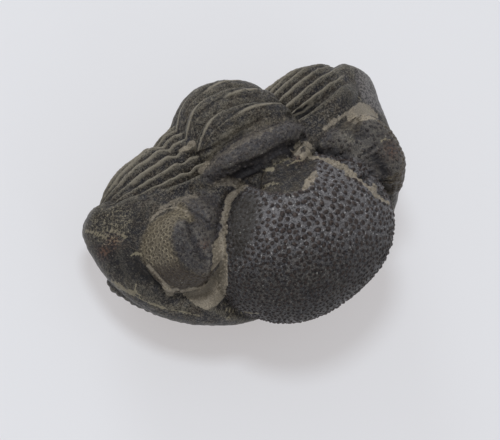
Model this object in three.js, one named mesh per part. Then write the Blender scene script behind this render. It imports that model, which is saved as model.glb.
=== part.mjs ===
// An enrolled fossil trilobite, one stone. Millimetres.
// +X is the animal's left, -Y its front and +Z its back of the head, which lies uppermost.
// Every lobe is a closed field around one inner point, so the skin is a sphere pushed out to it.
import * as THREE from "three";
import { mergeVertices } from "three/addons/utils/BufferGeometryUtils.js";

// ---- driving dimensions ------------------------------------------------------------------
const HEAD_HALF_WIDTH = 15.4;     // mid-line to the cheek's edge
const CORNER_FLARE = 1.7;         // the left rear corner of the head stands out by this more
const HEAD_LENGTH = 12.2;         // widest line of the head to its front border
const HEAD_RISE = 5.8;            // cheek height over the head's widest line
const HEAD_CENTRE = [4.3, -1.3];  // y, z
const HEAD_BACK = 8.7;            // rear edge of the cheeks
const MARGIN_Z = -3.0;            // lower edge of the head

const BODY_HALF_WIDTH = 14.7;     // mid-line to the tips of the side ribs
const BODY_HALF_LENGTH = 9.4;     // curl of the side ribs, front to back
const BODY_HALF_DEPTH = 6.4;
const BODY_CENTRE = [2.2, -1.9];  // y, z of the curl
const CURL_LEAN = 0.22;           // the upper curl leans back over the lower

const AXIS_MIDDLE = 0.95;         // the raised middle lobe of the thorax lies off the mid-line
const AXIS_HALF_WIDTH = 4.85;
const AXIS_BACK = 10.2;
const AXIS_FRONT = 9.2;
const AXIS_HALF_DEPTH = 8.1;
const AXIS_CENTRE = [2.0, -1.1];
const AXIS_SHOULDER = 0.56;       // its height at the sides, as a share of the crown

const SEGMENTS = 11;
const HINGE = [3.0, -0.5];        // y, z of the line the segments fan about
const FIRST_JOINT = 61;           // degrees above straight back, on the mid-line
const LAST_JOINT = -75;
const JOINT_STRAIGHT = 5;         // the first joint is straight this far out, then drops
const TAIL_SWEEP = { left: 2, right: 6 };   // degrees that the last joint turns per mm
const RIB_DEPTH = 0.42;
const RING_RISE = 0.6;
const RING_LEAN = -1.2;           // degrees per mm, rings skewed against the ribs

const THORAX_TWIST = 4.0;         // degrees, squeezed askew in the rock
const HEAD_TWIST = 1.5;
const TWIST_Y = 4.0;              // where the twist turns

// each eye: across and along of its foot, half width, half length, forward shift of the lid
const EYES = { left: [10.5, 0.4, 3.3, 3.9, 0], right: [9.35, 0.6, 3.5, 3.75, -1.3] };
const EYE_FOOT = 1.4;             // z where the eye's wall starts, and how high the wall is
const EYE_WALL = 4.4;
const LID_Z = 5.9;

const SKIN_COLOUR = 0x4a4645;
const COLUMNS = 112;              // facets round the curl
const ROWS = 44;                  // facets across the animal
const SEGMENT_COLUMNS = [0.02, 0.25, 0.52, 0.77];   // where facet lines cross a segment
const REST_FLAT = 0.55;           // depth of the worn flat it rests on

// ---- small helpers -----------------------------------------------------------------------
const rad = THREE.MathUtils.degToRad;
const bell = (d, width) => Math.exp(-((d / width) ** 2));
const ramp = (from, to, v) => {
  const t = THREE.MathUtils.clamp((v - from) / (to - from), 0, 1);
  return t * t * (3 - 2 * t);
};
const join = (a, b, soft) => {
  const h = THREE.MathUtils.clamp(0.5 + 0.5 * (b - a) / soft, 0, 1);
  return b + (a - b) * h - soft * h * (1 - h);
};
const cut = (a, b, soft) => -join(-a, -b, soft);
const round = (a, b, power) => (Math.abs(a) ** power + Math.abs(b) ** power) ** (1 / power);

function ellipsoid(p, [cx, cy, cz], [rx, ry, rz]) {
  const [x, y, z] = [p.x - cx, p.y - cy, p.z - cz];
  const near = Math.hypot(x / rx, y / ry, z / rz);
  const steep = Math.hypot(x / rx ** 2, y / ry ** 2, z / rz ** 2);
  return near * (near - 1) / Math.max(steep, 1e-6);
}

function twisted(p, degrees) {
  const [c, s, y] = [Math.cos(rad(degrees)), Math.sin(rad(degrees)), p.y - TWIST_Y];
  return new THREE.Vector3(p.x * c + y * s, TWIST_Y + y * c - p.x * s, p.z);
}

// ---- thorax and tail ---------------------------------------------------------------------
const sideOf = (x) => (x > 0 ? "left" : "right");

function firstJoint(x) {
  const off = Math.max(Math.abs(x) - JOINT_STRAIGHT, 0);
  const drop = x > 0 ? 0.25 * off ** 2.35 : 1.05 * off ** 1.7;
  return cut(FIRST_JOINT - drop, 11, 8);
}

/** Where the fan of segments starts, how far it turns and how it crowds, at one x. */
function fanAt(x) {
  const ax = Math.abs(x);
  const start = x > 0 ? FIRST_JOINT + 0.64 * (firstJoint(x) - FIRST_JOINT) : firstJoint(x);
  const sweep = start - LAST_JOINT + TAIL_SWEEP[sideOf(x)] * ax;
  const crowd = 1 + 0.14 * ramp(3, 6, ax) - 0.31 * ramp(-5, -11.5, x);
  return { start, sweep, crowd };
}

/** 0 at the joint behind the head, rising by one for each segment, SEGMENTS at the tail. */
function segmentAt(p, lean = 0) {
  let turn = THREE.MathUtils.radToDeg(Math.atan2(p.z - HINGE[1], p.y - HINGE[0])) + lean * p.x;
  if (turn > 150) turn -= 360;
  const fan = fanAt(p.x);
  const share = (fan.start - turn) / fan.sweep;
  return SEGMENTS * Math.sign(share) * Math.abs(share) ** fan.crowd;
}

const onThorax = (g) => ramp(-0.05, 0.05, g) * (1 - ramp(SEGMENTS - 0.05, SEGMENTS + 0.05, g));

function sideRibs(p) {
  const ax = Math.abs(p.x);
  const full = ramp(4, 12, p.x);                     // the left ribs are less crushed
  const lean = CURL_LEAN * (p.z - BODY_CENTRE[1]);
  const y = p.y - BODY_CENTRE[0] - (ax / 14) ** 2 - lean - 0.8 * full;
  const flattened = p.x > 0 ? 1.5 * ramp(14, 10.5, p.x) * ramp(1, 5, p.x) : 0.2;
  const length = BODY_HALF_LENGTH - (y > 0 ? flattened : 0);
  const curl = round(y / length, (p.z - BODY_CENTRE[1]) / BODY_HALF_DEPTH, 2.4);
  const power = 2.0 + 0.4 * full + 0.35 * ramp(-6, -10, p.x) * ramp(-2, 3, p.y);
  const side = Math.max(1 - (ax / BODY_HALF_WIDTH) ** power, 0) ** (1 / power);
  let ribs = (curl / (1 + 0.12 * full) - side) * 8 + (p.x < 0 ? 0.2 : 0);
  if (ax > BODY_HALF_WIDTH) ribs = Math.hypot(Math.max(ribs, 0), ax - BODY_HALF_WIDTH);
  const g = segmentAt(p);
  const groove = -RIB_DEPTH * Math.cos(2 * Math.PI * g);                   // a ridge at each joint
  const furrow = 0.4 * bell(ax - 5.4, 0.5);          // beside the middle lobe
  return ribs + onThorax(g) * (groove * (0.2 + 0.8 * ramp(15.2, 11, ax)) + furrow);
}

function middleLobe(p) {
  const y = p.y - AXIS_CENTRE[0] - CURL_LEAN * (p.z - AXIS_CENTRE[1]);
  const loop = round(y / (y < 0 ? AXIS_FRONT : AXIS_BACK), (p.z - AXIS_CENTRE[1]) / AXIS_HALF_DEPTH,
    2.5);
  const offset = (p.x - AXIS_MIDDLE) / AXIS_HALF_WIDTH;
  const across = Math.abs(offset + 0.12 * Math.max(1 - offset ** 2, 0));
  const arch = AXIS_SHOULDER + (1 - AXIS_SHOULDER) * Math.sqrt(Math.max(1 - across ** 1.9, 0));
  const lobe = cut((loop - arch) * 9.4, (Math.abs(offset) - 1) * AXIS_HALF_WIDTH, 0.3);
  const g = segmentAt(p, RING_LEAN);
  const t = g - Math.floor(g);
  const ring = 0.9 * Math.exp(-t / 0.2) + 0.8 * Math.exp((t - 1) / 0.04)
    - RING_RISE * ramp(-0.1, 0.85, t);
  return cut(lobe + onThorax(g) * ring + 0.9 * ramp(0.1, -0.1, g), -(g + 0.7) * 2, 0.2);
}

const thorax = (p) => join(sideRibs(p), middleLobe(p), 0.25);

// ---- head --------------------------------------------------------------------------------
/** A bean: a steep wall outside, a domed lid, and a saddle down to the front lobe. */
function eye(p) {
  const [atX, atY, wide, long, lidY] = EYES[sideOf(p.x)];
  const [across, along] = [Math.abs(p.x) - atX, p.y - atY];
  const rise = THREE.MathUtils.clamp((p.z - EYE_FOOT) / EYE_WALL, 0, 1);
  const drawnIn = 0.45 * rise + 0.55 * (1 - Math.sqrt(1 - rise ** 2));
  const wall = round((across - 0.1 * drawnIn) / (wide - 1.9 * drawnIn),
    (along - lidY * drawnIn) / (long - 1.2 * drawnIn), 2.2);
  const fromLid = along - lidY;
  const lid = p.z - (LID_Z + 0.12 * fromLid - 0.10 * across ** 2 - 0.07 * fromLid ** 2);
  const drum = cut(cut((wall - 1) * wide * 0.75, lid * 0.8, 0.6), 1 - p.z, 0.5);
  const q = { x: Math.abs(p.x), y: p.y, z: p.z };
  return join(drum, ellipsoid(q, [atX - 2.1, atY + 0.5, 2.0], [2.3, 3.2, 2.6]), 0.35);
}

function frontLobe(p) {
  const front = ellipsoid(p, [0, -3.5, 2.4], [7.9, 6.8, 6.5]);
  const left = ellipsoid(p, [2.6, -3.1, 2.2], [7.3, 6.5, 6.0]);
  const neck = ellipsoid(p, [-0.3, -0.4, 3.0], [4.6, 3.0, 4.2]);
  return join(join(front, left, 0.8), neck, 1.2);
}

function head(p) {
  const ax = Math.abs(p.x);
  const left = ramp(0, 8, p.x);
  const [y, z, a] = [p.y - HINGE[0], p.z - HINGE[1], rad(firstJoint(p.x))];
  const behind = z * Math.cos(a) - y * Math.sin(a);   // over the joint with the thorax
  const below = Math.min(0.85 * z - 0.53 * y, -y);    // over the slanting cheek margin
  const corner = Math.max(Math.min(ax - 12, 6.3 + 3 * left - p.y), ax - 13.2);
  const flare = 0.18 * ramp(2, 5, p.y) + 0.82 * ramp(4.5, 9, p.y);
  const plan = round(p.x / (HEAD_HALF_WIDTH + CORNER_FLARE * left * flare),
    (p.y - HEAD_CENTRE[0]) / HEAD_LENGTH, 2.15);
  const high = (p.z - HEAD_CENTRE[1]) / HEAD_RISE;
  let cheeks = (Math.hypot(plan, high) - 1) * 9 / (1 + 0.6 * Math.abs(high));
  cheeks = cut(cheeks, MARGIN_Z - p.z - 0.03 * p.y, 0.6);
  cheeks = cut(cheeks, -Math.max(behind, below, corner), 0.25);
  cheeks = cut(cheeks, p.y - HEAD_BACK - 1.9 * left + 0.12 * Math.max(ax - 11.3, 0) ** 2, 0.6);
  cheeks += 0.5 * bell(behind - 0.5 - 0.9 * ramp(10, 5, ax), 0.3) * ramp(12, 9, ax);
  cheeks = join(cheeks, eye(p), 0.2);
  const bulb = frontLobe(p);
  cheeks += bell(Math.max(bulb, 0), 0.75) * ramp(-3, 1, p.z);
  const shelf = ellipsoid(p, [1.2, 1.6, 2.6], [4.7, 2.6, 3.6]);
  const collar = ellipsoid(p, [0.6, 4.95, 3.5], [5.3, 1.75, 4.0]);
  return [bulb, shelf, collar].reduce((skin, lobe) => join(skin, lobe, 0.2), cheeks);
}

const stone = (p) => join(thorax(twisted(p, THORAX_TWIST)), head(twisted(p, HEAD_TWIST)), 0.3);

// ---- skin --------------------------------------------------------------------------------
function outermost(direction, middle) {
  let reach = 22;
  const p = new THREE.Vector3();
  for (let i = 0; i < 160; i += 1) {
    p.copy(direction).multiplyScalar(reach).add(middle);
    reach -= THREE.MathUtils.clamp(stone(p), -0.3, 2) * 0.35;
  }
  return p.copy(direction).multiplyScalar(reach).add(middle).clone();
}

/** Turns a sphere's even columns so that SEGMENT_COLUMNS of them follow each segment. */
function fanned(v) {
  const x = THREE.MathUtils.clamp(v.x, -1, 1);
  const across = Math.sqrt(1 - x * x);
  const reach = 1 / Math.hypot(x / BODY_HALF_WIDTH, across / BODY_HALF_LENGTH);
  const { start, sweep, crowd } = fanAt(x * reach);
  const even = Math.atan2(-v.z, v.y) / (2 * Math.PI) * COLUMNS;
  const column = Math.round(even + COLUMNS) % COLUMNS;
  const fan = SEGMENTS * SEGMENT_COLUMNS.length;
  let turn = start - sweep - (360 - sweep) * (column - fan + 0.5) / (COLUMNS - fan);
  if (column < fan) {
    const place = column % SEGMENT_COLUMNS.length;
    const g = (column - place) / SEGMENT_COLUMNS.length + SEGMENT_COLUMNS[place];
    const onAxis = ramp(6, 4.5, Math.abs(x * reach - AXIS_MIDDLE));
    turn = start - sweep * (g / SEGMENTS) ** (1 / crowd) - onAxis * RING_LEAN * x * reach;
  }
  return new THREE.Vector3(x, across * Math.cos(rad(turn)), across * Math.sin(rad(turn)));
}

function fossilGeometry() {
  const middle = new THREE.Vector3(0, ...HINGE);
  let geometry = new THREE.SphereGeometry(1, COLUMNS, ROWS);
  geometry.deleteAttribute("normal");
  geometry.deleteAttribute("uv");
  geometry = mergeVertices(geometry, 1e-5);
  geometry.rotateZ(Math.PI / 2);                      // poles to the two genal corners
  const position = geometry.attributes.position;
  const v = new THREE.Vector3();
  const upright = new THREE.Vector3(0, 0, 1);
  for (let i = 0; i < position.count; i += 1) {
    v.copy(fanned(v.fromBufferAttribute(position, i).normalize()));
    const skin = outermost(v.applyAxisAngle(upright, rad(THORAX_TWIST)), middle);
    position.setXYZ(i, skin.x, skin.y, skin.z);
  }
  geometry.computeBoundingBox();
  const box = geometry.boundingBox;
  const rest = box.min.z + REST_FLAT;
  for (let i = 0; i < position.count; i += 1) position.setZ(i, Math.max(position.getZ(i), rest));
  const centre = box.getCenter(v);
  geometry.translate(-centre.x, -centre.y, -rest);
  geometry.computeVertexNormals();
  return geometry;
}

const group = new THREE.Group();
group.name = "fossil_trilobite";
const material = new THREE.MeshStandardMaterial({ color: SKIN_COLOUR, roughness: 0.62, metalness: 0 });
const trilobite = new THREE.Mesh(fossilGeometry(), material);
trilobite.name = "trilobite";
group.add(trilobite);
export default group;
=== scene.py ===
# %% [markdown]
# A trilobite is a sea animal with a jointed shell, and this one rolled itself up before it was
# buried. What is left is one dark stone: a swollen, pimpled front lobe, a many-lensed eye on
# each side of it, smooth cheeks, and eleven body segments that fan back and under.
# It could be sculpted by hand, but then no proportion has a name. Here the stone is a sphere
# whose points are pushed out to a surface that is written as arithmetic, so that every lobe
# and groove can be moved by its own number. All the shaping is in millimetres.

# %% The fixed frame
import math
import bpy
import bmesh
import numpy as np
from mathutils import Matrix, Vector, noise


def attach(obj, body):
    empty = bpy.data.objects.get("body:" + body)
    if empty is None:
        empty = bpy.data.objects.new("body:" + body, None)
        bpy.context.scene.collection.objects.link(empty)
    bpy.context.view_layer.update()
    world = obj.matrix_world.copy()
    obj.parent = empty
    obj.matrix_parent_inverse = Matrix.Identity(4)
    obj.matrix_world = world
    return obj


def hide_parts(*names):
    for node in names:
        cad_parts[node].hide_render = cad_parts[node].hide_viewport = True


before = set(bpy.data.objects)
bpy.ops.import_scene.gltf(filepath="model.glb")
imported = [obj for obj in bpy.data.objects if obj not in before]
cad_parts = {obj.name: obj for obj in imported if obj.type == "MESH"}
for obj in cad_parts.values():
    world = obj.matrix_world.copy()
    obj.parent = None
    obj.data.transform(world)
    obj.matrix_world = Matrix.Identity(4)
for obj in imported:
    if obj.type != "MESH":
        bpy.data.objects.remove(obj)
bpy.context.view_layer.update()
MM = 0.001

# %% [markdown]
# Three directions settle how the stone is seen. The drawing board is a flat sheet held square
# to that view, 11.3 of its units to the millimetre. Small things such as a crack or a patch of
# clay are set out on the board, and each lands on the skin straight below its place there.

# %% The view and the drawing board
RIGHT = Vector((0.836, -0.487, 0.253)).normalized()
TOWARDS = RIGHT.cross(Vector((0.386, 0.850, 0.359))).normalized()
UP = TOWARDS.cross(RIGHT)
BOARD_UNITS = 11.3
BOARD_ZERO = (265.3, 221.1)
SEAT = Vector((0.37289, 1.43199, -8.64538))      # the animal's own zero, seen from the stand
right, up, towards = (np.array(v) for v in (RIGHT, UP, TOWARDS))
HEAD_TWIST, THORAX_TWIST = 1.5, 4.0               # degrees; squeezing turned the two apart


def on_board(points):
    return (BOARD_ZERO[0] + BOARD_UNITS * points @ right,
            BOARD_ZERO[1] - BOARD_UNITS * points @ up)


print("seen from", [round(v, 2) for v in TOWARDS])

# %% [markdown]
# The shaping sums use a few small tools. `join` and `cut` melt two forms together or carve one
# by the other with a soft edge, `bell` makes a bump or a groove, and `ramp` fades between two
# places. A form is a number for each point: below nought inside the stone, above it outside.

# %% Shaping tools


def bell(distance, width):
    return np.exp(-(distance / width) ** 2)


def ramp(start, end, value):
    t = np.clip((value - start) / (end - start), 0, 1)
    return t * t * (3 - 2 * t)


def join(a, b, soft):
    h = np.clip(0.5 + 0.5 * (b - a) / soft, 0, 1)
    return b + (a - b) * h - soft * h * (1 - h)


def cut(a, b, soft):
    return -join(-a, -b, soft)


def roundness(a, b, power):
    return (np.abs(a) ** power + np.abs(b) ** power) ** (1 / power)


def ellipsoid(x, y, z, centre, radii):
    offsets = [v - c for v, c in zip((x, y, z), centre)]
    near = np.sqrt(sum((o / r) ** 2 for o, r in zip(offsets, radii)))
    steep = np.sqrt(sum((o / r ** 2) ** 2 for o, r in zip(offsets, radii)))
    return near * (near - 1) / np.maximum(steep, 1e-6)


def twisted(x, y, degrees, pivot=4.0):
    c, s = math.cos(math.radians(degrees)), math.sin(math.radians(degrees))
    return x * c + (y - pivot) * s, pivot + (y - pivot) * c - x * s


print("two edges that meet are joined", -float(join(0.0, 0.0, 1.0)), "mm deeper")

# %% [markdown]
# The segments behave like the ribs of a fan: they share one hinge line through the middle of
# the curled body. Each point gets a segment number, nought at the joint behind the head and
# eleven at the tail. Rings on the raised middle lobe climb to a sharp back edge; the side ribs
# are two bands each, with a sharp ridge and a sunken strip between.

# %% Thorax and tail
SEGMENTS = 11
HINGE_Y, HINGE_Z = 3.0, -0.5
FIRST_ANGLE = 61                                  # degrees up from the hinge, at the middle
RING_LEAN = -1.2                                  # degrees that a ring leans for each mm across
RIBS_WIDE, RIBS_Z = 14.7, -1.9                    # half width, and the middle of their curl
LOBE_X, LOBE_Z = 0.95, -1.1                       # the middle of the raised lobe


def first_joint(x):
    """Angle of the joint behind the head; squeezing has bent it more on the right side."""
    off = np.maximum(np.abs(x) - 5, 0)
    drop = np.where(x > 0, 0.25 * off ** 2.35, 1.05 * off ** 1.7)
    return cut(FIRST_ANGLE - drop, 11.0 + 0 * x, 8.0)


def segment_at(x, y, z, lean=0.0):
    ax = np.abs(x)
    turn = np.degrees(np.arctan2(z - HINGE_Z, y - HINGE_Y)) + lean * x
    turn = np.where(turn > 150, turn - 360, turn)
    first = first_joint(x)
    start = np.where(x > 0, FIRST_ANGLE + 0.64 * (first - FIRST_ANGLE), first)
    share = (start - turn) / (start + 75 + np.where(x > 0, 2, 6) * ax)
    crowd = 1 + 0.14 * ramp(3, 6, ax) - 0.31 * ramp(-5, -11.5, x)
    return SEGMENTS * np.sign(share) * np.abs(share) ** crowd


def joint_place(x, y, z, lean=0.0):
    """Segment number, the share of the segment that is passed, and one on the segments only."""
    g = segment_at(x, y, z, lean)
    on = ramp(-0.05, 0.05, g) * (1 - ramp(SEGMENTS - 0.05, SEGMENTS + 0.05, g))
    return g, g - np.floor(g), on


def side_ribs(x, y, z):
    ax = np.abs(x)
    full = ramp(4, 12, x)
    middle = 2.2 + (ax / 14) ** 2 + 0.22 * (z - RIBS_Z) + 0.8 * full
    flat_back = np.where(x > 0, 1.5 * ramp(14, 10.5, x) * ramp(1, 5, x), 0.2) * (y > middle)
    curl = roundness((y - middle) / (9.4 - flat_back), (z - RIBS_Z) / 6.4, 2.4) / (1 + 0.12 * full)
    power = 2.0 + 0.4 * full + 0.35 * ramp(-6, -10, x) * ramp(-2, 3, y)
    side = np.clip(1 - (ax / RIBS_WIDE) ** power, 0, 1) ** (1 / power)
    form = (curl - side) * 8 + 0.2 * (x < 0)
    past_tips = ax - RIBS_WIDE
    return np.where(past_tips > 0, np.hypot(np.maximum(form, 0), past_tips), form)


def middle_lobe(x, y, z):
    offset = (x - LOBE_X) / 4.95
    across = np.abs(offset + 0.12 * np.clip(1 - offset ** 2, 0, 1))
    lean = 2.0 + 0.22 * (z - LOBE_Z)
    loop = roundness((y - lean) / np.where(y < lean, 9.2, 10.2), (z - LOBE_Z) / 8.1, 2.5)
    arch = 0.56 + 0.44 * np.sqrt(np.clip(1 - across ** 1.9, 0, 1))
    return cut((loop - arch) * 9.4, np.abs(x - LOBE_X) - 4.85, 0.3)


def thorax(x, y, z):
    ax = np.abs(x)
    _, t, on = joint_place(x, y, z)
    from_ridge = np.sqrt(((2 * t + 0.5) % 1 - 0.5) ** 2 + 0.012) - 0.06
    rib = 1.25 * (1 - np.exp(-from_ridge / 0.3)) - 0.5
    fade = 0.2 + 0.8 * ramp(15.2, 11, ax)
    ribs = side_ribs(x, y, z) + on * (rib * fade + 0.4 * bell(ax - 5.4, 0.5))
    g, t, on = joint_place(x, y, z, RING_LEAN)
    ring = 0.9 * np.exp(-t / 0.2) + 0.8 * np.exp((t - 1) / 0.04) - 0.6 * ramp(-0.1, 0.85, t)
    lobe = cut(middle_lobe(x, y, z) + on * ring + 0.9 * ramp(0.1, -0.1, g), -(g + 0.7) * 2, 0.2)
    return join(ribs, lobe, 0.25)


for height in (12.0, 9.0, 6.0):
    joint = segment_at(np.array([1.0]), np.array([9.0]), np.array([height]))[0]
    print("at", height, "mm up the back: segment", round(float(joint), 1))

# %% [markdown]
# An eye is a bean on a drum: a steep wall of lenses outside, a domed lid on top, and a saddle
# that runs down to the front lobe. Each form of the head is one small function, so that it can
# be asked again later, when pimples or lenses are set on it alone.

# %% Eyes
EYES = {-1: (9.35, 0.6, 3.5, 3.75, -1.3), 1: (10.5, 0.4, 3.3, 3.9, 0.0)}
# for each side: across and along of the foot's middle, half its width and half its length,
# and how far forward of the foot the lid sits


def eye_frame(x, y, z):
    """Each point's place on the eye of its own side: across, along, width, wall and lid."""
    sizes = np.where((x > 0)[:, None], EYES[1], EYES[-1])
    at_x, at_y, wide, long, lid_y = sizes.T
    across, along = np.abs(x) - at_x, y - at_y
    rise = np.clip((z - 1.4) / 4.4, 0, 1)
    drawn_in = 0.45 * rise + 0.55 * (1 - np.sqrt(1 - rise ** 2))
    wall = roundness((across - 0.1 * drawn_in) / (wide - 1.9 * drawn_in),
                     (along - lid_y * drawn_in) / (long - 1.2 * drawn_in), 2.2)
    from_lid = along - lid_y
    lid = z - (5.9 + 0.12 * from_lid - 0.10 * across ** 2 - 0.07 * from_lid ** 2)
    return across, along, wide, wall, lid


def eye(x, y, z):
    """The drum with its lid and its saddle, and a low rim round the lid."""
    across, along, wide, wall, lid = eye_frame(x, y, z)
    drum = cut(cut((wall - 1) * wide * 0.75, lid * 0.8, 0.6), 1.0 - z, 0.5)
    saddle = ellipsoid(across, along, z, (-2.3, 0.5, 2.4), (2.6, 3.4, 3.0))
    return join(drum, saddle, 0.35) + 0.3 * bell(wall - 0.95, 0.16) * ramp(-0.6, -1.6, across)


print("eyes", 2 * EYES[-1][3], "and", 2 * EYES[1][3], "mm long at the foot")

# %% [markdown]
# The front lobe is three melted eggs, because squeezing pushed it over to one side. The collar
# behind it is a short thick roll. Rib tips look out from under each cheek: they are a bowed rod
# that swells once for each tip.

# %% Front lobe, collar and fringe


def front_lobe(x, y, z):
    bulb = ellipsoid(x, y, z, (0.0, -3.5, 2.4), (7.9, 6.8, 6.5))
    swell = ellipsoid(x, y, z, (2.6, -3.1, 2.2), (7.3, 6.5, 6.0))
    neck = ellipsoid(x, y, z, (-0.3, -0.4, 3.0), (4.6, 3.0, 4.2))
    return join(join(bulb, swell, 0.8), neck, 1.2)


def collar_roll(x, y, z):
    return ellipsoid(x, y, z, (0.6, 4.95, 3.5), (5.3, 1.75, 4.0))


def fringe(ax, y, z):
    """The row of rib tips along the cheek's edge."""
    start, end = np.array((14.4, 1.9, -3.2)), np.array((11.9, -2.3, -2.7))
    tip_length = 0.714
    long = np.linalg.norm(end - start)
    points = np.stack((ax, y, z), 1) - start
    s = np.clip(points @ (end - start) / long, 0, long)
    bow = 0.3 * (1 - (2 * s / long - 1) ** 2)
    spine = s[:, None] * (end - start) / long + bow[:, None] * np.array((0.86, -0.5, 0))
    thick = 0.5 + 0.22 * np.abs(np.sin(np.pi * s / tip_length)) ** 0.6
    return np.linalg.norm(points - spine, axis=1) - thick


forward = np.linspace(-12, -8, 41)
inside_lobe = front_lobe(0 * forward, forward, 0 * forward + 2.4) < 0
print("the lobe reaches forward to", forward[inside_lobe].min().round(1), "mm")

# %% [markdown]
# The cheeks are a low dome, cut off at the first joint, below, and at the back corners. The
# eyes, fringe, lobe and collar are melted into it. The head and the thorax are each turned a
# little before they are joined.

# %% The whole head and the whole stone


def head(x, y, z):
    ax = np.abs(x)
    back, rise = y - HINGE_Y, z - HINGE_Z
    angle = np.radians(first_joint(x))
    behind = rise * np.cos(angle) - back * np.sin(angle)
    below = np.minimum(0.85 * rise - 0.53 * back, -back)
    left = ramp(0, 8, x)
    wide = 15.4 + left * (0.3 * ramp(2, 5, y) + 1.4 * ramp(4.5, 9, y))
    plan = roundness(x / wide, (y - 4.3) / 12.2, 2.15)
    high = (z + 1.3) / 5.8
    cheeks = (np.hypot(plan, high) - 1) * 9 / (1 + 0.6 * np.abs(high))
    cheeks = cut(cheeks, -(z + 3.0 + 0.03 * y), 0.6)
    corner = np.maximum(np.minimum(ax - 12.0, 6.3 + 3 * left - y), ax - 13.2 - 0.4 * left)
    kept = np.maximum(np.maximum(behind, below), corner)
    cheeks = cut(cheeks, -kept, 0.25)
    cheeks = cut(cheeks, y - 8.7 - 1.9 * left + 0.12 * np.maximum(ax - 11.3, 0) ** 2, 0.6)
    border = 0.5 + 0.9 * ramp(10, 5, ax)
    cheeks = cheeks + 0.5 * bell(behind - border, 0.3) * ramp(12, 9, ax)
    drums = eye(x, y, z)
    cheeks = join(cheeks + 0.55 * bell(drums - 0.35, 0.5), drums, 0.2)
    cheeks = join(cheeks, fringe(ax, y, z), 0.15)
    lobe = front_lobe(x, y, z)
    cheeks = cheeks + bell(np.maximum(lobe, 0), 0.75) * ramp(-3, 1, z)
    form = join(cheeks, lobe, 0.15)
    shelf = ellipsoid(x, y, z, (1.3, 2.2, 3.0), (4.6, 2.4, 4.0))
    form = join(form, shelf, 0.3)
    return join(form, collar_roll(x, y, z), 0.2)


def stone(points):
    x, y, z = points.T
    thorax_x, thorax_y = twisted(x, y, THORAX_TWIST)
    head_x, head_y = twisted(x, y, HEAD_TWIST)
    return join(thorax(thorax_x, thorax_y, z), head(head_x, head_y, z), 0.3)


print("stone at its own zero:", round(float(stone(np.zeros((1, 3)))[0]), 2), "mm (inside)")

# %% [markdown]
# The skin starts as a cube, cut into a fine grid and blown up to a sphere. Its points are
# crowded a little towards the viewer, where the finest relief is. Each point then walks along
# its own ray until it meets the form.

# %% The skin
GRID = 128
CROWD = 0.35
MIDDLE = np.array((0.0, 2.0, 0.0))
FAR_OUT = 22.0                                    # mm from the middle, where each point starts
WALK_STEPS = 70


def blown_sphere():
    shell = bmesh.new()
    bmesh.ops.create_cube(shell, size=2)
    bmesh.ops.subdivide_edges(shell, edges=shell.edges[:], cuts=GRID - 1, use_grid_fill=True)
    mesh = bpy.data.meshes.new("trilobite_stone")
    shell.to_mesh(mesh)
    shell.free()
    return mesh


def coordinates(mesh):
    flat = np.empty(len(mesh.vertices) * 3, np.float32)
    mesh.vertices.foreach_get("co", flat)
    return flat.reshape(-1, 3).astype(float)


def unit(vectors):
    return vectors / np.linalg.norm(vectors, axis=-1, keepdims=True)


skin_mesh = blown_sphere()
cube = coordinates(skin_mesh)
rays = unit(np.tan(cube * math.pi / 4))
rays = unit(rays + CROWD * towards)
reach = np.full(len(rays), FAR_OUT)
for _ in range(WALK_STEPS):
    reach = reach - np.clip(stone(MIDDLE + rays * reach[:, None]), -0.3, 2.0) * 0.55
skin = MIDDLE + rays * reach[:, None]
print(len(skin), "points,", len(skin_mesh.polygons), "faces")

# %% [markdown]
# Where the form is steep the grid is stretched, and a stretched grid shows. So each ray turns a
# little towards the middle of its neighbours and meets the form again, a few times over, and
# the few points that still hang between two lobes are eased on to their neighbours.

# %% Neighbours and normals
flat_edges = np.empty(len(skin_mesh.edges) * 2, np.int32)
skin_mesh.edges.foreach_get("vertices", flat_edges)
edge_a, edge_b = flat_edges.reshape(-1, 2).T
corners = np.empty(len(skin_mesh.polygons) * 4, np.int32)
skin_mesh.polygons.foreach_get("vertices", corners)
corners = corners.reshape(-1, 4)
neighbours = np.bincount(flat_edges, minlength=len(skin))[:, None]


def pooled(values, places, count):
    return np.stack([np.bincount(places, column, minlength=count) for column in values.T], 1)


def neighbour_mean(values):
    values = values.reshape(len(values), -1)
    total = (pooled(values[edge_b], edge_a, len(values))
             + pooled(values[edge_a], edge_b, len(values)))
    return total / neighbours


def normals_of(points):
    a, b, c, d = (points[corners[:, i]] for i in range(4))
    faces = np.cross(c - a, d - b)
    total = sum(pooled(faces, corners[:, i], len(points)) for i in range(4))
    return unit(total)


print(int(neighbours.min()), "to", int(neighbours.max()), "neighbours to a point")

# %% Even out the grid
EVEN_ROUNDS = 12
MEETING_STEPS = 6
outwards = normals_of(skin)
if np.mean(np.sum(outwards * (skin - MIDDLE), 1)) < 0:
    skin_mesh.flip_normals()
    corners = corners[:, ::-1]
for _ in range(EVEN_ROUNDS):
    rays = unit(skin + 0.8 * (neighbour_mean(skin) - skin) - MIDDLE)
    reach = reach + 0.4
    for _ in range(MEETING_STEPS):
        reach = reach - np.clip(stone(MIDDLE + rays * reach[:, None]), -0.3, 1.0) * 0.7
    skin = MIDDLE + rays * reach[:, None]
for _ in range(3):
    slide = neighbour_mean(skin) - skin
    torn = ramp(0.10, 0.35, np.linalg.norm(slide, axis=1))[:, None]
    skin = skin + slide * (0.2 + 0.6 * torn)
normal = normals_of(skin)
print("skin box", np.ptp(skin, axis=0).round(2), "mm")

# %% [markdown]
# Marks are drawn on the board like pencil lines on tracing paper: a line with its points, or a
# closed outline. Each skin point asks how far it lies from the line. Only the side that faces
# the board takes the mark.

# %% Drawing tools
board_x, board_y = on_board(skin)
seen = ramp(0.05, 0.3, normal @ towards)


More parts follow.
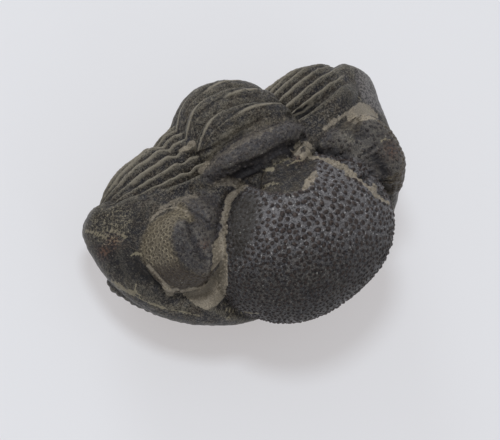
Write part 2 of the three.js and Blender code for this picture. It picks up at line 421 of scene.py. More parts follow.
def rounded(points, closed=False):
    """Cuts the corners of a drawn line twice, so that it bends smoothly."""
    line = np.array(points, float)
    for _ in range(2):
        after = np.roll(line, -1, 0) if closed else line[1:]
        before = line if closed else line[:-1]
        middle = np.stack((0.75 * before + 0.25 * after, 0.25 * before + 0.75 * after), 1)
        middle = middle.reshape(-1, 2)
        line = middle if closed else np.vstack((line[:1], middle, line[-1:]))
    return line


def line_distance(points, closed=False):
    """Board units from each skin point to a drawn line; below nought inside a closed one."""
    line = rounded(points, closed)
    ends = np.roll(line, -1, 0) if closed else line[1:]
    nearest = np.full(len(skin), 1e9)
    inside = np.zeros(len(skin), bool)
    for (ax, ay), (bx, by) in zip(line, ends):
        dx, dy = bx - ax, by - ay
        px, py = board_x - ax, board_y - ay
        t = np.clip((px * dx + py * dy) / (dx * dx + dy * dy + 1e-9), 0, 1)
        nearest = np.minimum(nearest, (px - t * dx) ** 2 + (py - t * dy) ** 2)
        if closed:
            crosses = (ay > board_y) != (by > board_y)
            inside ^= crosses & (px < dx * (board_y - ay) / (dy + 1e-9 * (dy == 0)))
    nearest = np.sqrt(nearest)
    return np.where(inside, -nearest, nearest) if closed else nearest


def lumps(scale, octaves=4, seed=0.0):
    shift = Vector((seed, -seed, 2 * seed))
    return np.array([noise.fractal(Vector(p) * scale + shift, 0.9, 2.0, octaves) for p in skin])


ragged = lumps(1.4, 3, 3.0)


def drawn(points, width, rough=0.5, soft=0.6):
    """One along a drawn line, fading to nought over its edge, which can be ragged."""
    distance = line_distance(points) + ragged * rough * width
    return ramp(width, width * (1 - soft), distance) * seen


def patch(points, soft=4.0, rough=3.0):
    """One inside a drawn outline."""
    return ramp(soft / 2, -soft / 2, line_distance(points, True) + ragged * rough) * seen


def spot(x, y, radius):
    """One at a place on the board, fading with distance."""
    return bell(np.hypot(board_x - x, board_y - y), radius) * seen


print(round(100 * float(np.mean(seen > 0.5))), "percent of the skin faces the board")

# %% [markdown]
# The front lobe of this family is covered with blunt pimples, large and loose on top, small and
# crowded towards its edges. They are sown by chance with a set distance between them, from a
# seeded generator, so every run gives the same stone.

# %% Sowing pimples
chance = np.random.default_rng(7)
MOST_SEEDS = 1600
head_x, head_y = twisted(skin[:, 0], skin[:, 1], HEAD_TWIST)
lobe_depth = front_lobe(head_x, head_y, skin[:, 2])
broken_nape = [(262, 158), (290, 146), (305, 140), (318, 156), (314, 176), (304, 189),
               (290, 193), (268, 193), (252, 186), (240, 182), (225, 186), (215, 178)]
nape_break = patch(broken_nape, 5, 2)
lobe_mask = ramp(0.3, 0.1, lobe_depth) * ramp(-3.2, -2.4, skin[:, 2]) * (1 - nape_break)


def sown(allowed, spacing):
    """Points picked by chance from those allowed, each its own spacing from all others."""
    order = chance.permutation(np.flatnonzero(allowed))
    free = np.ones(len(order), bool)
    chosen = []
    for rank, index in enumerate(order):
        if free[rank]:
            chosen.append(index)
            near = np.sum((skin[order] - skin[index]) ** 2, 1) < spacing[index] ** 2
            free &= ~near
        if len(chosen) >= MOST_SEEDS:
            break
    return chosen


coarse = bell(board_x - 325, 80) * bell(board_y - 212, 50)
pimple_gap = 0.34 + 0.25 * coarse
pimple_seeds = sown(lobe_mask > 0.5, pimple_gap)
pimple_radius = pimple_gap[pimple_seeds] * chance.uniform(0.43, 0.60, len(pimple_seeds))
worn_place = [(228, 196), (250, 190), (262, 200), (258, 225), (250, 250), (232, 262), (226, 235)]
worn = patch(worn_place, 16)
# the lobe's front: its pimples are lower there, and its colour is darkened as painted shade
front = ramp(225, 285, board_y + 0.15 * (board_x - 280)) * seen
print(len(pimple_seeds), "pimples")

# %% [markdown]
# The eyelids, the collar and the cheek between eye and lobe carry finer grains of the same kind.

# %% Grains on eyelids and collar
GRAIN_GAP = 0.40
eye_across, eye_along, _, eye_wall, eye_lid = eye_frame(head_x, head_y, skin[:, 2])
on_drum = ramp(0.25, 0.05, eye(head_x, head_y, skin[:, 2])) * ramp(1.2, 1.6, skin[:, 2])
outer = ramp(-0.3, 0.2, eye_across + 0.95 + 0.18 * eye_along)
wall = on_drum * outer * ramp(-0.05, -0.3, eye_lid) * ramp(0.82, 0.9, eye_wall)
eyelid = on_drum * (1 - wall) * ramp(2.4, 3.4, skin[:, 2])
collar = ramp(0.3, 0.1, collar_roll(head_x, head_y, skin[:, 2]))
fixed_cheek = patch([(188, 192), (222, 192), (218, 215), (217, 240), (210, 256), (198, 240)], 6)
grainy = np.maximum.reduce([eyelid, collar, fixed_cheek * 0.8])
grain_seeds = sown(grainy > 0.5, np.full(len(skin), GRAIN_GAP))
grain_radius = GRAIN_GAP * chance.uniform(0.35, 0.55, len(grain_seeds))
print(len(grain_seeds), "grains")

# %% [markdown]
# An eye of this family is a wall of separate round lenses, stacked in slanting files. Height
# and angle on the drum give each point its place in that brickwork, so no lens is placed by hand.

# %% Lenses
LENS_STEP = 0.53
DRUM_RADIUS = 3.4
file_place = np.arctan2(eye_along, eye_across) * DRUM_RADIUS / LENS_STEP
file_number = np.round(file_place)
stack_place = skin[:, 2] * 1.1 / LENS_STEP + 0.5 * (file_number % 2)
stack_number = np.round(stack_place)
off_lens = np.hypot(file_place - file_number, stack_place - stack_number)
# one whole number stands for each lens: its side, its place in the stack and its file
lens_name = ((skin[:, 0] > 0) * 100 + stack_number + 20) * 1000 + file_number + 100
lens_seeds = []
for name in np.unique(lens_name[wall > 0.6]):
    group = np.flatnonzero((lens_name == name) & (wall > 0.6))
    best = group[np.argmin(off_lens[group])]
    if off_lens[best] < 0.3 and chance.random() < 0.93:
        lens_seeds.append(best)
print(len(lens_seeds), "lenses")

# %% [markdown]
# Pale clay fills some furrows and lies in a few broad smears. Each furrow is a drawn line and
# each smear an outline, all in board units, with a number for how thick the clay lies.

# %% Clay
clay_marks = [                                   # points, half width, how thick it lies
    ([(245, 187), (234, 191), (228, 199), (224, 214), (222, 235)], 3.4, 0.52),
    ([(178, 289), (168, 286), (158, 278), (148, 265)], 2.2, 0.5),
    ([(216, 184), (228, 182), (243, 186)], 6.0, 0.40),
    ([(210, 166), (222, 155), (235, 147), (252, 139), (270, 127), (288, 118)], 6.0, 0.38),
    ([(182, 150), (188, 148), (192, 143)], 4.5, 0.8),
    ([(201, 171), (208, 163)], 3.5, 0.6),
    ([(297, 150), (303, 143), (309, 149), (304, 156)], 5.0, 0.7),
    ([(312, 156), (328, 159), (342, 165), (354, 175)], 6.0, 0.62),
    ([(354, 175), (366, 186), (378, 197), (390, 203)], 3.0, 0.8),
    ([(378, 182), (374, 190), (383, 200)], 4.0, 0.6),
    ([(326, 128), (338, 118), (350, 112)], 4.0, 0.5),
    ([(150, 222), (156, 214), (170, 207), (184, 209), (190, 219)], 2.2, 0.5),
    ([(160, 209), (176, 201), (196, 196)], 5.0, 0.42),
]
clay_fields = [                                  # outline, how thick it lies
    ([(217, 236), (226, 238), (228, 262), (228, 290), (220, 303), (207, 310), (196, 306),
      (187, 298), (178, 289), (190, 290), (200, 288), (210, 281), (214, 268), (212, 252)], 1.0),
    ([(163, 284), (176, 289), (174, 296), (165, 294)], 0.7),
    ([(235, 142), (250, 126), (266, 115), (280, 117), (272, 126), (252, 137)], 0.36),
    ([(345, 122), (350, 108), (362, 100), (374, 108), (382, 118), (370, 119), (356, 121)], 0.75),
    ([(300, 194), (304, 181), (311, 172), (318, 170), (316, 180), (309, 190)], 0.6),
]
clay = [drawn(points, w, 0.45) * thick for points, w, thick in clay_marks]
clay += [patch(points, 2.5, 1.6) * thick for points, thick in clay_fields]
clay = np.maximum.reduce(clay)
print(len(clay_marks), "strips and", len(clay_fields), "fields of clay")

# %% [markdown]
# Scratches, cracks and pale films are only colour, so they are drawn but never raised. One
# small spot on the nape's knob is a painted highlight.

# %% Pale marks
pale_marks = [                                   # points, half width, how bright
    ([(85, 231), (96, 233), (107, 238)], 0.9, 0.7),
    ([(104, 231), (120, 231), (130, 243)], 0.9, 0.6),
    ([(112, 280), (121, 287), (130, 293), (150, 303), (165, 308)], 1.3, 0.5),
    ([(131, 256), (138, 252), (143, 256)], 1.2, 0.7),
    ([(137, 283), (134, 289), (140, 296)], 1.0, 0.6),
    ([(225, 309), (240, 312), (258, 313)], 0.8, 0.7),
    ([(236, 309), (232, 315), (226, 320)], 0.7, 0.5),
    ([(335, 117), (345, 128), (354, 139)], 2.0, 0.25),
    ([(262, 167), (275, 160), (290, 154)], 2.2, 0.35),
    # a painted highlight on the nape's knob
    ([(267, 171), (273, 170)], 3.0, 0.45),
    ([(262, 187), (272, 182), (282, 184)], 3.0, 0.30),
    ([(112, 281), (122, 288), (134, 294)], 3.5, 0.45),
    ([(288, 165), (296, 160), (303, 160)], 1.6, 0.4),
    ([(381, 141), (386, 139), (393, 140)], 1.0, 0.5),
    ([(358, 96), (366, 106), (371, 112)], 0.8, 0.5),
    ([(160, 308), (180, 311), (200, 316)], 0.9, 0.4),
]
pale = [drawn(points, w, 0.6) * bright for points, w, bright in pale_marks]
speckled_cheek = [(88, 212), (110, 200), (140, 205), (135, 235), (118, 250), (92, 245), (84, 228)]
pale.append(patch(speckled_cheek, 16) * 0.25)
pale = np.maximum.reduce(pale)
print(len(pale_marks), "pale marks")

# %% [markdown]
# Sunken furrows and small knobs come next. The furrows follow the gaps between the forms, so
# that shadows there are as deep as in a real stone.

# %% Furrows and knobs
hollows = [                                      # points, half width, depth in mm
    ([(236, 192), (228, 202), (224, 220), (221, 240), (219, 262), (215, 282), (204, 293),
      (190, 293)], 9.0, 0.30),
    ([(190, 222), (194, 238), (199, 250), (206, 260)], 5.0, 0.22),
    ([(352, 121), (360, 133), (370, 147), (380, 161), (386, 174)], 5.5, 0.40),
    ([(322, 152), (334, 153), (344, 157)], 8.0, 0.45),
    ([(364, 176), (372, 174)], 4.5, 0.45),
    ([(380, 184), (384, 190)], 6.5, 0.60),
    ([(311, 155), (326, 151), (340, 157), (352, 168), (368, 184), (386, 200)], 3.0, 0.22),
    ([(230, 178), (250, 172), (270, 163), (290, 154), (303, 137)], 5.0, 0.30),
    ([(258, 186), (262, 170), (270, 160)], 3.0, 0.20),
    ([(148, 262), (157, 276), (170, 286)], 3.0, 0.15),
    ([(313, 104), (300, 112), (290, 116)], 6.0, 0.35),
    ([(228, 180), (245, 185), (262, 186)], 3.0, 0.15),
    ([(225, 172), (245, 165), (268, 155), (290, 143)], 5.0, 0.20),
    ([(357, 70), (360, 85), (358, 101), (350, 107)], 2.5, 0.15),
    ([(262, 165), (285, 158), (300, 152)], 2.5, 0.20),
    ([(196, 118), (212, 104), (232, 96), (255, 95)], 3.0, 0.10),
    ([(193, 156), (217, 147), (237, 134), (263, 120)], 3.5, 0.15),
]
hollow = sum(drawn(points, w, 0.2, 0.9) * depth for points, w, depth in hollows)
knobs = [                                        # place, radius, height in mm
    (270, 173, 9, 0.40), (315, 168, 6, 0.20), (303, 147, 8, 0.35), (249, 178, 7, 0.20),
    (289, 178, 8, 0.30), (348, 94, 11, 0.45), (232, 176, 6, 0.20), (168, 289, 7, 0.25),
    (205, 299, 8, 0.25), (340, 135, 7, 0.25), (356, 160, 7, 0.20), (187, 146, 5, 0.20),
    (250, 150, 12, 0.30), (225, 164, 9, 0.20), (288, 130, 10, 0.22), (268, 160, 6, 0.12),
]
bumps = sum(spot(x, y, radius) * height for x, y, radius, height in knobs)
print(len(hollows), "furrows and", len(knobs), "knobs")

# %% [markdown]
# All this small relief goes on last, straight out along the skin, so that it never shifts a
# form. The whole stone also gets slow dents, because no fossil is as even as arithmetic.

# %% Relief
dents, grit, chips = lumps(0.55), lumps(2.6, 3, 5.0), lumps(1.3, 4, 7.0)
relief = 0.07 * dents + 0.025 * grit + 0.03 * chips * (1 - lobe_mask)
relief = relief - 0.15 * nape_break - hollow + bumps
relief = relief + clay * (0.04 + 0.02 * chips)
skin = skin + normal * relief[:, None]
normal = normals_of(skin)
print("relief from", relief.min().round(2), "to", relief.max().round(2), "mm")

# %% [markdown]
# Painted shade darkens the hollows, and a pale tone on the ridges is partly wear and partly
# painted highlight. Both follow from the shape: a copy of the skin is smoothed, and the height
# of the skin over the smooth copy says how sunken or how proud each point is.

# %% Hollows and ridges


def proudness(rounds):
    smooth = skin
    for _ in range(rounds):
        smooth = neighbour_mean(smooth)
    return np.sum((skin - smooth) * normal, 1)


proud = proudness(6)
proud_wide = proudness(36)
print("proud", np.percentile(proud, (1, 50, 99)).round(3))

# %% [markdown]
# Some regions are darker, greyer or redder, so they are outlined on the board too. The dark
# ones are partly stain and partly painted shade: the shadow under the collar's front face and in
# the nape is painted in, and the furrows and the lobe's front are darkened as painted shade.
# The ribs and rings need no drawing: each point's segment number is enough.

# %% Regions and segments
dark_places = [                                  # outline, softness of the edge, how dark
    ([(104, 246), (128, 243), (142, 256), (152, 276), (150, 288), (128, 282), (108, 268)], 8, 1),
    ([(84, 225), (100, 200), (140, 200), (148, 222), (138, 250), (150, 280), (175, 295),
      (170, 308), (130, 290), (100, 262)], 12, 0.5),
    ([(337, 93), (352, 84), (358, 88), (357, 101), (345, 107), (338, 103)], 5, 0.7),
    ([(178, 228), (190, 224), (200, 238), (206, 256), (204, 270), (190, 275), (176, 262),
      (172, 244)], 6, 0.5),
    ([(362, 124), (378, 126), (388, 142), (390, 162), (382, 172), (370, 150)], 6, 0.3),
    # painted shade: the shadow under the collar's front face
    ([(196, 178), (222, 170), (250, 160), (280, 148), (300, 132), (304, 140), (285, 158),
      (255, 170), (225, 178), (204, 184)], 5, 0.4),
    # painted shade in the nape, below the collar
    ([(228, 176), (255, 172), (300, 158), (316, 160), (304, 186), (268, 192)], 8, 0.5),
]
dark = [patch(points, soft) * strength for points, soft, strength in dark_places]
# furrows and the lobe's front are darkened too, as painted shade
dark = np.maximum.reduce(dark + [np.clip(hollow / 0.4, 0, 1), front * lobe_mask * 0.6])
grey_corner = [(356, 66), (372, 67), (384, 90), (390, 118), (376, 108), (362, 100), (357, 82)]
grey_edge = [(393, 191), (403, 188), (404, 216), (396, 216)]
grey_face = np.maximum(patch(grey_corner, 5, 1.0), patch(grey_edge, 4, 1.0))
red_spots = [                                    # place, radius, how red
    (114, 241, 7, 1), (104, 252, 6, 1), (205, 244, 5, 0.6), (300, 158, 6, 0.5), (392, 150, 9, 0.6)]
red = np.maximum.reduce([spot(x, y, radius) * strength for x, y, radius, strength in red_spots])
thorax_x, thorax_y = twisted(skin[:, 0], skin[:, 1], THORAX_TWIST)
on_ribs = ramp(0.35, 0.1, thorax(thorax_x, thorax_y, skin[:, 2]))
on_ring = ramp(0.5, 0.2, middle_lobe(thorax_x, thorax_y, skin[:, 2]))
segment = np.where(on_ring > 0.5, segment_at(thorax_x, thorax_y, skin[:, 2], RING_LEAN),
                   segment_at(thorax_x, thorax_y, skin[:, 2]))
on_ribs = on_ribs * ramp(0.0, 0.2, segment) * (1 - ramp(SEGMENTS - 0.2, SEGMENTS, segment))
brown_foot = ramp(254, 274, board_y + 0.25 * (board_x - 170))
marks = {
    "segment": segment, "on_ribs": on_ribs * (1 - on_ring), "on_ring": on_ribs * on_ring,
    "front_lobe": lobe_mask, "grainy": grainy, "lens_wall": wall, "clay": clay, "pale": pale,
    "dark": dark, "worn": worn, "red": red, "grey_face": grey_face, "front": front,
    "brown_eye": wall * np.where(skin[:, 0] > 0, 0.8, brown_foot),
    "proud": np.clip(0.5 + proud / 0.2, 0, 1),
    "proud_wide": np.clip(0.5 + proud_wide / 1.0, 0, 1)}
print(len(marks), "numbers kept at each point")

# %% [markdown]
# The skin now becomes a piece: it is moved so that the stone rests on the table, and anything
# below the table is pressed flat. The numbers of the marks go with it as attributes, which the
# finish can read. The new skin takes the place of the plain model.

# %% The stone as an object


def keep_number(mesh, name, values):
    attribute = mesh.attributes.new(name, "FLOAT", "POINT")
    attribute.data.foreach_set("value", np.asarray(values, np.float32))


def place_piece(name, mesh, points, numbers):
    """Sets a mesh on the table as one piece of the fossil, with its numbers for the finish."""
    place = (points - np.array(SEAT)) * MM
    place[:, 2] = np.maximum(place[:, 2], 0)
    mesh.vertices.foreach_set("co", place.astype(np.float32).ravel())
    for number_name, values in numbers.items():
        keep_number(mesh, number_name, values)
    mesh.polygons.foreach_set("use_smooth", np.ones(len(mesh.polygons), bool))
    mesh.update()
    piece = bpy.data.objects.new(name, mesh)
    bpy.context.scene.collection.objects.link(piece)
    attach(piece, "root")
    print(name, (np.ptp(place, axis=0) / MM).round(2), "mm,", len(mesh.polygons), "faces")
    return piece


trilobite = place_piece("trilobite_stone", skin_mesh, skin, marks)
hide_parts("trilobite")

# %% [markdown]
# The pimples, grains and lenses are separate small domes, set a little into the skin. They
# could be pushed out of the skin, but its grid is too coarse for a crisp round dome. So one ball
# of only forty faces is made, and an Array modifier copies it once for each seed.

# %% Domes
ball = bmesh.new()
bmesh.ops.create_uvsphere(ball, u_segments=8, v_segments=5, radius=1)
ball_size = len(ball.verts)
ball_mesh = bpy.data.meshes.new("ball")
ball.to_mesh(ball_mesh)
ball.free()
seeds = np.concatenate((pimple_seeds, grain_seeds, lens_seeds)).astype(int)
sets = np.repeat((0, 1, 2), (len(pimple_seeds), len(grain_seeds), len(lens_seeds)))
row = bpy.data.objects.new("row_of_balls", ball_mesh)
bpy.context.scene.collection.objects.link(row)
copies = row.modifiers.new("copies", "ARRAY")
copies.count, copies.use_relative_offset = len(seeds), False
seen_row = row.evaluated_get(bpy.context.evaluated_depsgraph_get())
dome_mesh = bpy.data.meshes.new_from_object(seen_row)
bpy.data.objects.remove(row)
balls = coordinates(dome_mesh).reshape(len(seeds), ball_size, 3)
print(len(seeds), "domes, copies all alike:", bool(np.allclose(balls, balls[0])))

# %% [markdown]
# Each copy is flattened to a dome, stretched a little, turned to stand on the skin and moved to
# its seed. Pimples are lower where the lobe is worn and towards its front.

# %% Set the domes on the skin
SINK = 0.03                                       # how deep a dome's rim sits under the skin
LENS_RADIUS = 0.23
radii = np.concatenate((pimple_radius, grain_radius, np.full(len(lens_seeds), LENS_RADIUS)))
flatness = np.concatenate((0.65 - 0.45 * worn[pimple_seeds] - 0.15 * front[pimple_seeds],
                           np.full(len(grain_seeds), 0.5), np.full(len(lens_seeds), 0.3)))
flatness = flatness * chance.uniform(0.8, 1.15, len(seeds))
upright = normal[seeds]
first = unit(np.cross(upright, chance.normal(size=upright.shape)))
second = np.cross(upright, first)
stretch = 1 + np.choose(sets, (0.35, 0.35, 0.0)) * chance.random(len(seeds))
spread = balls[:, :, 0] ** 2 + balls[:, :, 1] ** 2
rise = np.where(balls[:, :, 2] > 0, np.clip(1 - spread, 0, 1) ** 0.9, 0.5 * balls[:, :, 2])


def moved(along, amount, direction):
    """How far each dome point goes in its own dome's direction."""
    return (along * amount[:, None])[:, :, None] * direction[:, None]


dome_points = (skin[seeds] - SINK * upright)[:, None]
dome_points = dome_points + moved(balls[:, :, 0], radii * stretch, first)
dome_points = dome_points + moved(balls[:, :, 1], radii / stretch ** 0.5, second)
dome_points = dome_points + moved(rise, radii * flatness + SINK, upright)
numbers = {name: np.repeat(values[seeds], ball_size) for name, values in marks.items()}
top = np.clip(1 - spread, 0, 1) * (balls[:, :, 2] > 0)
numbers["pimple"] = (top * (sets < 2)[:, None]).ravel()
numbers["lens"] = (top * (sets == 2)[:, None]).ravel()
numbers["proud"] = np.full(len(seeds) * ball_size, 0.5)
domes = place_piece("pimples_and_lenses", dome_mesh, dome_points.reshape(-1, 3), numbers)

# %% [markdown]
# A finish is a small web of shader nodes. Drawn by hand it is hard to read, so sums are written
# as ordinary Python: `Wire` wraps one socket, and adding or multiplying wires adds the nodes.

# %% Shader sums


class Wire:
    """One number flowing between shader nodes; sums on it add Math nodes."""

    def __init__(self, finish, socket):
        self.finish, self.socket = finish, socket

    def sum(self, operation, first, second):
        return self.finish.node("ShaderNodeMath", {"operation": operation}, {0: first, 1: second})

    def __add__(self, other):
        return self.sum("ADD", self, other)

    def __sub__(self, other):
        return self.sum("SUBTRACT", self, other)

    def __rsub__(self, other):
        return self.sum("SUBTRACT", other, self)

    def __mul__(self, other):
        return self.sum("MULTIPLY", self, other)

    __rmul__ = __mul__

    def fraction(self):
        return self.sum("FRACT", self, 0)

    def size(self):
        return self.sum("ABSOLUTE", self, 0)

    def above(self, start, end):
        """Nought below start, one above end, and a soft step between."""
        return self.finish.node("ShaderNodeMapRange", {"interpolation_type": "SMOOTHSTEP"},
                                {"Value": self, "From Min": start, "From Max": end})


class Finish:
    """A material under construction."""

    def __init__(self, name):
        self.material = bpy.data.materials.new(name)
        self.material.use_nodes = True
        self.tree = self.material.node_tree
        self.shader = self.tree.nodes["Principled BSDF"]
        self.here = None                          # the coordinates that clouds are read at
        self.coats = None                         # the colour so far

    def node(self, kind, settings=None, sockets=None, output=0):
        node = self.tree.nodes.new(kind)
        for name, value in (settings or {}).items():
            setattr(node, name, value)
        for name, value in (sockets or {}).items():
            self.feed(node.inputs[name], value)
        return Wire(self, node.outputs[output])

    def feed(self, socket, value):
        if isinstance(value, Wire):
            self.tree.links.new(value.socket, socket)
        else:
            socket.default_value = value

    def set(self, **sockets):
        for name, value in sockets.items():
            self.feed(self.shader.inputs[name.replace("_", " ")], value)

    def number(self, name):
        return self.node("ShaderNodeAttribute", {"attribute_name": name}, output="Fac")

    def clouds(self, size_mm, detail, roughness):
        return self.node("ShaderNodeTexNoise", {}, {
            "Vector": self.here, "Scale": 1 / (size_mm * MM), "Detail": detail,
            "Roughness": roughness}, "Fac")

    def coat(self, amount, tone):
        """Lays a tone over all the coats before it."""
        self.coats = self.blend(amount, self.coats, tone)

    def blend(self, amount, first, second):
        return self.node("ShaderNodeMix", {"data_type": "RGBA", "clamp_factor": True},
                         {"Factor": amount, 6: first, 7: second}, 2)


def colour(red, green, blue):
    """A colour given 0 to 255, as the light the shader wants."""
    return tuple((v / 255 / 12.92 if v < 10.3 else ((v / 255 + 0.055) / 1.055) ** 2.4)
                 for v in (red, green, blue)) + (1.0,)


print("mid grey as light:", round(colour(128, 128, 128)[0], 3))

# %% [markdown]
# The stone is a dark calcite. Its finish is laid in coats, as a painter would: one ground tone,
# then each coat over all before it, where a cloud pattern or a kept number lets it through.
# Crystals glitter light and dark at a tenth and a fifth of a millimetre.

# %% Ground tones
fossil = Finish("dark_calcite")
fossil.here = fossil.node("ShaderNodeTexCoord", output="Object")
pimple, on_lobe = fossil.number("pimple"), fossil.number("front_lobe")
proud_near, proud_far = fossil.number("proud"), fossil.number("proud_wide")
mottle, dust = fossil.clouds(2.6, 3, 0.6), fossil.clouds(1.1, 3, 0.6)
grain = fossil.clouds(0.22, 3, 0.65)
fine = fossil.clouds(0.10, 2, 0.6)
speck = fossil.clouds(0.16, 0, 0.5)
tints = fossil.clouds(0.6, 2, 0.5)
fossil.coats = fossil.blend(mottle.above(0.36, 0.64), colour(38, 36, 38), colour(54, 49, 41))
fossil.coat(tints.above(0.52, 0.62) * 0.5, colour(38, 40, 51))
fossil.coat(tints.above(0.48, 0.40) * 0.5, colour(56, 46, 36))
fossil.coat(grain.above(0.50, 0.64) * 0.7, colour(110, 104, 93))
fossil.coat(grain.above(0.48, 0.36) * 0.85, colour(12, 11, 14))
fossil.coat(fine.above(0.53, 0.66) * 0.38, colour(118, 112, 101))
fossil.coat(fine.above(0.48, 0.37) * 0.7, colour(9, 8, 10))
print(len(fossil.tree.nodes), "nodes in the ground tones")

# %% [markdown]
# Furrows are painted nearly black, as shade. On the ribs and rings the segment number draws a
# pale line along each edge, partly wear and partly painted highlight, and a dark seam of
# painted shade beside it, so the lines follow the shape exactly.

# %% Ribs and rings
# painted shade: the hollows go nearly black
deep = (1 - proud_far).above(0.55, 0.80)
fossil.coat(deep * (1 - on_lobe) * 0.85, colour(10, 9, 12))
segment, on_ribs, on_ring = (fossil.number(n) for n in ("segment", "on_ribs", "on_ring"))
band = (segment * 2 + 0.5).fraction()
rib_line = (band - 0.5).size()
# a pale line along each rib edge, partly wear and partly painted highlight
worn_and_lit_line = rib_line.above(0.17, 0.04) * on_ribs * (fine * 0.6 + dust * 0.4).above(0.30, 0.50)
fossil.coat(worn_and_lit_line * 0.75, colour(146, 139, 124))
# painted shade: a dark seam in the trough beside each line
seam_shade = (band - 0.72).size().above(0.12, 0.03) * on_ribs
fossil.coat(seam_shade * 0.95, colour(8, 7, 11))
ring_place = segment.fraction()
# each ring's crest is paler, partly wear and partly painted highlight
crest = ring_place.above(0.30, 0.0) * on_ring * (fine * 0.6 + dust * 0.4).above(0.32, 0.55)
fossil.coat(crest * 0.7, colour(128, 121, 106))
# painted shade: each ring darkens towards its front furrow
fossil.coat(ring_place.above(0.60, 0.97) * on_ring * 0.8, colour(10, 9, 12))
# the ridges turn paler, partly wear and partly painted highlight
ridge = proud_near.above(0.56, 0.80) * fine.above(0.30, 0.62) * (dust * 0.5 + 0.25)
fossil.coat(ridge * (1 - on_lobe), colour(122, 117, 104))
print(len(fossil.tree.nodes), "nodes with the ribs")

# %% [markdown]
# The lobe's pimples are red-brown. The net between them is a blue-grey fill, partly pale
# fill and partly painted sheen, with small painted glints. It fades towards the lobe's front,
# which is darkened as painted shade. The worn place is duller.

# %% Lobe and grains
# the net is partly pale fill and partly painted sheen, and it fades towards the front as painted
# shade
net = on_lobe * (grain * 0.6 + fine * 0.4).above(0.37, 0.54) * (1 - fossil.number("front") * 0.7)
fossil.coat(net * 0.7, colour(116, 115, 119))
# painted glints in the net
glint = on_lobe * speck.above(0.70, 0.78) * net
fossil.coat(glint * 0.8, colour(190, 190, 192))
fossil.coat(fossil.number("grainy") * 0.35, colour(82, 80, 84))
pimple_tone = fossil.blend(grain.above(0.40, 0.62), colour(30, 22, 20), colour(62, 49, 43))
fossil.coat(pimple.above(0.10, 0.55) * (on_lobe * 0.65 + 0.25), pimple_tone)
fossil.coat(fossil.number("worn") * 0.8, colour(45, 42, 38))
print(len(fossil.tree.nodes), "nodes with the lobe")

# %% [markdown]
# The wall of lenses is tan, with a pale ring round each lens and a brown middle, and it turns
# dark brown at its foot.

# %% Lenses and eye walls
lens = fossil.number("lens")
tan = fossil.blend(grain.above(0.35, 0.65), colour(74, 67, 55), colour(122, 113, 95))
tan = fossil.blend(lens.above(0.0, 0.2) * 0.8, tan, colour(156, 147, 126))
tan = fossil.blend(lens.above(0.35, 0.70) * 0.9, tan, colour(58, 50, 40))
tan = fossil.blend(fossil.number("brown_eye") * 0.8, tan, colour(42, 31, 25))
fossil.coat(fossil.number("lens_wall") * 0.9, tan)
print(len(fossil.tree.nodes), "nodes with the eyes")

# %% [markdown]
# Last come grey broken faces, dark stains with painted shade, red stains, the clay, and the
# pale scratches and specks, one of which is a painted highlight.

# %% Stains, clay and specks
grey = fossil.blend(grain.above(0.42, 0.54), colour(66, 63, 65), colour(128, 125, 124))
fossil.coat(fossil.number("grey_face") * 0.7, grey)
# dark stains, and painted shade under the collar, in the nape, in the furrows and at the lobe's
# front
fossil.coat(fossil.number("dark") * (0.9 - grain * 0.5), colour(16, 15, 19))
fossil.coat(fossil.number("red") * grain.above(0.4, 0.6) * 0.7, colour(98, 66, 50))
clay_cover = (fossil.number("clay") + grain * 0.3 + dust * 0.3).above(0.55, 0.90)
clay_tone = fossil.blend(fine.above(0.35, 0.65), colour(130, 121, 107), colour(170, 160, 142))
clay_tone = fossil.blend(dust.above(0.4, 0.6) * 0.4, clay_tone, colour(118, 112, 102))
fossil.coat(clay_cover * 0.80, clay_tone)
pale_cover = (fossil.number("pale") + grain * 0.6 + fine * 0.5 - 0.55).above(0.22, 0.42)
fossil.coat(pale_cover * 0.6, colour(146, 138, 116))
fossil.coat(speck.above(0.74, 0.80) * dust.above(0.5, 0.7) * 0.7, colour(160, 158, 150))
print(len(fossil.tree.nodes), "nodes with the dirt")

# %% [markdown]
# The finest roughness is too small for the mesh, so it is a bump of about a tenth of a
# millimetre, with a slightly sharper edge along each rib. Light grains are also smoother.

# %% Bump and gloss
rib_edge = rib_line.above(0.20, 0.0) * on_ribs
bump = fossil.node("ShaderNodeBump", {}, {"Strength": 1.0, "Distance": 0.00008,
                                          "Height": grain + fine * 0.7 + rib_edge})
fossil.set(Base_Color=fossil.coats, Roughness=0.50 - 0.25 * grain, Normal=bump)
fossil.shader.inputs["Specular IOR Level"].default_value = 0.26
for piece in (trilobite, domes):
    piece.data.materials.append(fossil.material)
print(len(fossil.tree.nodes), "nodes in the stone's finish")

# %% [markdown]
# The stone lies on a wide pale sheet that glows a little by itself, a painted light and no
# lamp. The glow is in the sheet itself, so shadows on it stay pale.

# %% Floor
FLOOR_HALF = 1.5                                  # metres
sheet = bmesh.new()
bmesh.ops.create_grid(sheet, x_segments=1, y_segments=1, size=FLOOR_HALF)
floor_mesh = bpy.data.meshes.new("table")
sheet.to_mesh(floor_mesh)
sheet.free()
floor = bpy.data.objects.new("table", floor_mesh)
bpy.context.scene.collection.objects.link(floor)
paper = Finish("white_table")
# painted light: the sheet's warm glow keeps shadows on it pale and warm
paper.set(Base_Color=colour(160, 168, 176), Roughness=0.8, Emission_Color=(1, 0.93, 0.91, 1),
          Emission_Strength=0.41)
floor.data.materials.append(paper.material)
print("sheet", 2 * FLOOR_HALF, "m wide")

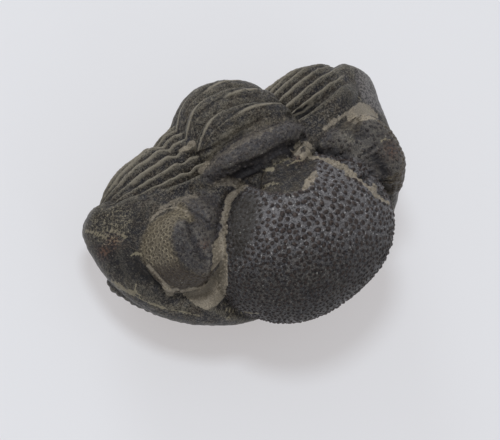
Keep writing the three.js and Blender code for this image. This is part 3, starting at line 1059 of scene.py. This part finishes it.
# %% [markdown]
# The main lamp stands beside the viewer, a little to the top of the board, so shadows fall
# softly to its foot. A wider lamp above the back picks out the ribs, a weak one fills the low
# side, and the pale room does the rest.

# %% Lamps and room


def lamp(name, direction, distance, size, power):
    """A round lamp that points at the stone; metres and watts."""
    light = bpy.data.lights.new(name, "AREA")
    light.shape, light.size, light.energy = "DISK", size, power
    thing = bpy.data.objects.new(name, light)
    away = Vector(direction).normalized()
    thing.location = away * distance
    thing.rotation_euler = away.to_track_quat("Z", "Y").to_euler()
    bpy.context.scene.collection.objects.link(thing)


lamp("main_lamp", UP * 0.42 + TOWARDS * 0.9, distance=0.6, size=0.13, power=1.38)
lamp("back_lamp", UP + TOWARDS * 0.12 - RIGHT * 0.25, distance=0.6, size=0.25, power=0.9)
lamp("low_fill", TOWARDS * 0.8 - UP * 0.5 + RIGHT * 0.6, distance=0.8, size=0.25, power=0.25)
world = bpy.data.worlds.new("room")
world.use_nodes = True
room_light = world.node_tree.nodes["Background"].inputs
room_light["Color"].default_value = (0.97, 0.98, 1.0, 1)
room_light["Strength"].default_value = 0.46
bpy.context.scene.world = world
bpy.context.scene.view_settings.view_transform = "Standard"
print(len(bpy.data.lights), "lamps")

# %% [markdown]
# The camera looks square at the drawing board through a very long lens, which hardly shrinks
# what is further off, so the picture and the board agree.

# %% Camera
LENS, SENSOR = 1000, 36                           # millimetres
WIDE, HIGH = 500, 440                             # the picture
NEAR = 3.0                                        # mm over the zero, where the scale is exact
camera = bpy.data.objects.new("camera", bpy.data.cameras.new("camera"))
bpy.context.scene.collection.objects.link(camera)
bpy.context.scene.camera = camera
camera.data.lens, camera.data.sensor_width = LENS, SENSOR
camera.data.clip_start, camera.data.clip_end = 0.01, 10
aim = (RIGHT * (WIDE / 2 - BOARD_ZERO[0]) - UP * (HIGH / 2 - BOARD_ZERO[1])) / BOARD_UNITS - SEAT
distance = LENS / SENSOR * WIDE / BOARD_UNITS
pose = Matrix((RIGHT, UP, TOWARDS)).transposed().to_4x4()
pose.translation = (aim + TOWARDS * (NEAR + distance)) * MM
camera.matrix_world = pose
print("camera", round(distance), "mm away")
